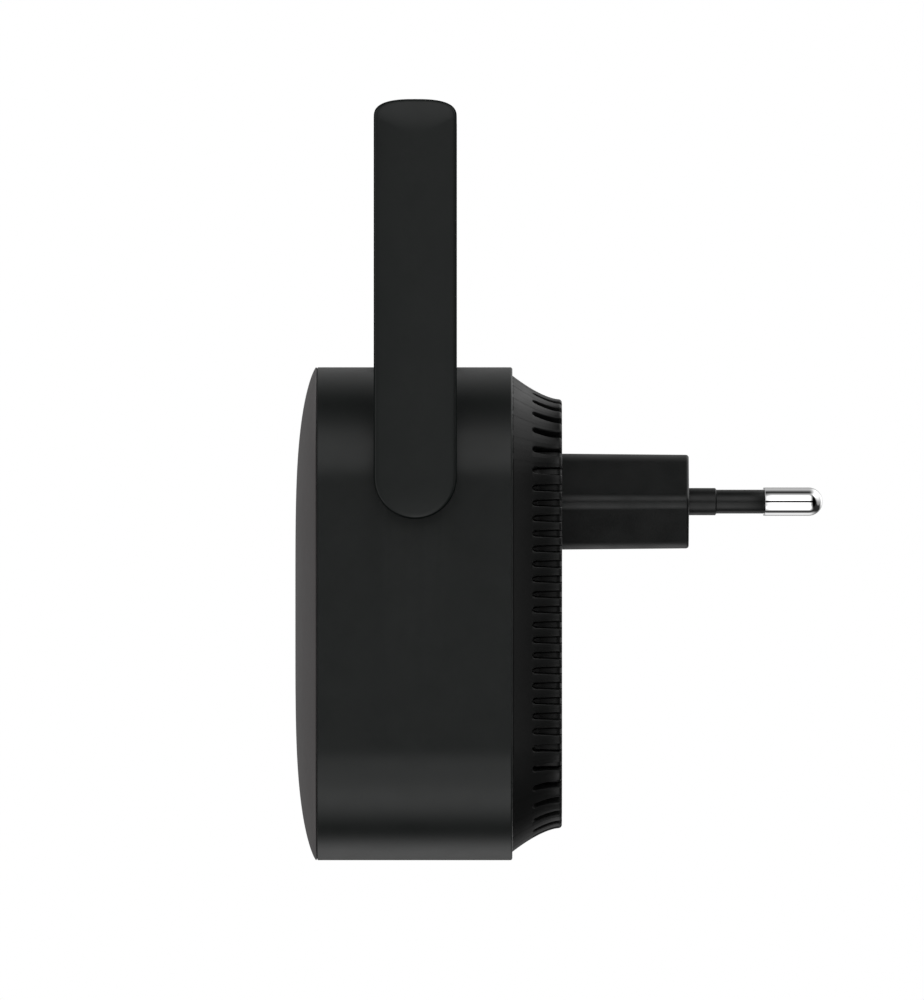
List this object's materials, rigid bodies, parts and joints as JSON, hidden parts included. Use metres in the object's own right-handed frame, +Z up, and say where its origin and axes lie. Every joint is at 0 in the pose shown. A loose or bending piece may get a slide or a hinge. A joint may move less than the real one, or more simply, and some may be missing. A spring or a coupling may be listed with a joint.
{
  "type": "wifi range extender",
  "caption": "Dark grey wall-plug wifi range extender: soft-cornered square body, vented waisted back, flat two-pin plug, paddle antennas that swing at the sides.",
  "frame": {"origin": "centre of the plug's end face, from which the two pins stand out", "axes": "+Y along the pins towards the wall socket, +Z up along the raised antennas, +X to the right of someone facing the front panel"},
  "size_m": [0.0834, 0.0746, 0.1074],
  "materials": {
    "shell_plastic": "fine satin texture",
    "panel_plastic": "satin",
    "cover_plastic": "fine satin texture",
    "plug_plastic": "satin",
    "sleeve_plastic": "smooth satin",
    "nickel_pin": "bright nickel plate",
    "antenna_plastic": "fine satin texture",
    "steel": "zinc plated",
    "tinned_steel": "tinned",
    "brass": "bright",
    "brown_board": "resin board",
    "green_board": "solder mask",
    "acetal": "natural",
    "black_rubber": "matt",
    "black_lead": "smooth",
    "red_lead": "smooth",
    "component_sleeve": "shrink sleeve",
    "ferrite": "dull",
    "winding_tape": "polyester tape",
    "blue_epoxy": "dipped",
    "resistor_coat": "lacquer",
    "insulating_film": "film",
    "thermal_pad": "soft",
    "aluminium": "as extruded",
    "light_pipe": "clear, slightly milky",
    "led_body": "clear",
    "plunger_plastic": "satin",
    "chip_plastic": "moulded"
  },
  "bodies": {
    "casing": {"back_cover": "cover_plastic", "bridge_rectifier": "chip_plastic", "bulk_capacitor_lower": "component_sleeve", "bulk_capacitor_upper": "component_sleeve", "choke": "component_sleeve", "cover_screw_bottom_left": "steel", "cover_screw_bottom_right": "steel", "cover_screw_top_left": "steel", "cover_screw_top_right": "steel", "crystal": "tinned_steel", "flash_chip": "chip_plastic", "front_panel": "panel_plastic", "fusible_resistor": "resistor_coat", "heat_sink": "aluminium", "insulating_sheet": "insulating_film", "left_coax_lead": "black_lead", "left_contact_strip": "brass", "left_friction_washer": "black_rubber", "left_hinge_bush": "acetal", "left_pin": "nickel_pin", "left_pin_sleeve": "sleeve_plastic", "light_pipe": "light_pipe", "logic_board": "green_board", "main_shell": "shell_plastic", "output_capacitor": "component_sleeve", "plug_body": "plug_plastic", "plug_screw_left": "steel", "plug_screw_right": "steel", "power_board": "brown_board", "reset_switch": "chip_plastic", "rf_shield": "tinned_steel", "right_coax_lead": "black_lead", "right_contact_strip": "brass", "right_friction_washer": "black_rubber", "right_hinge_bush": "acetal", "right_pin": "nickel_pin", "right_pin_sleeve": "sleeve_plastic", "status_led": "led_body", "supply_lead_black": "black_lead", "supply_lead_red": "red_lead", "switching_controller": "chip_plastic", "thermal_pad": "thermal_pad", "transformer_core": "ferrite", "transformer_winding": "winding_tape", "wifi_chip": "chip_plastic", "y_capacitor": "blue_epoxy"},
    "left_antenna": {"left_antenna_inner_cover": "antenna_plastic", "left_antenna_outer_cover": "antenna_plastic", "left_antenna_board": "green_board", "left_antenna_coax": "black_lead", "left_retaining_ring": "steel"},
    "right_antenna": {"right_antenna_inner_cover": "antenna_plastic", "right_antenna_outer_cover": "antenna_plastic", "right_antenna_board": "green_board", "right_antenna_coax": "black_lead", "right_retaining_ring": "steel"},
    "reset_plunger": {"reset_plunger": "plunger_plastic"}
  },
  "joints": [
    {"name": "left_antenna_swing", "type": "hinge", "parent": "casing", "child": "left_antenna", "pos_m": [-0.03485, -0.0387, 0.0034], "axis": [1, 0, 0], "range_deg": [0, 180]},
    {"name": "right_antenna_swing", "type": "hinge", "parent": "casing", "child": "right_antenna", "pos_m": [0.03485, -0.0387, 0.0034], "axis": [1, 0, 0], "range_deg": [0, 180]},
    {"name": "reset_press", "type": "slide", "parent": "casing", "child": "reset_plunger", "axis": [0, 0, 1], "range_m": [0, 0.00025], "stiffness_N_per_m": 4000, "springref_m": -0.0001}
  ]
}
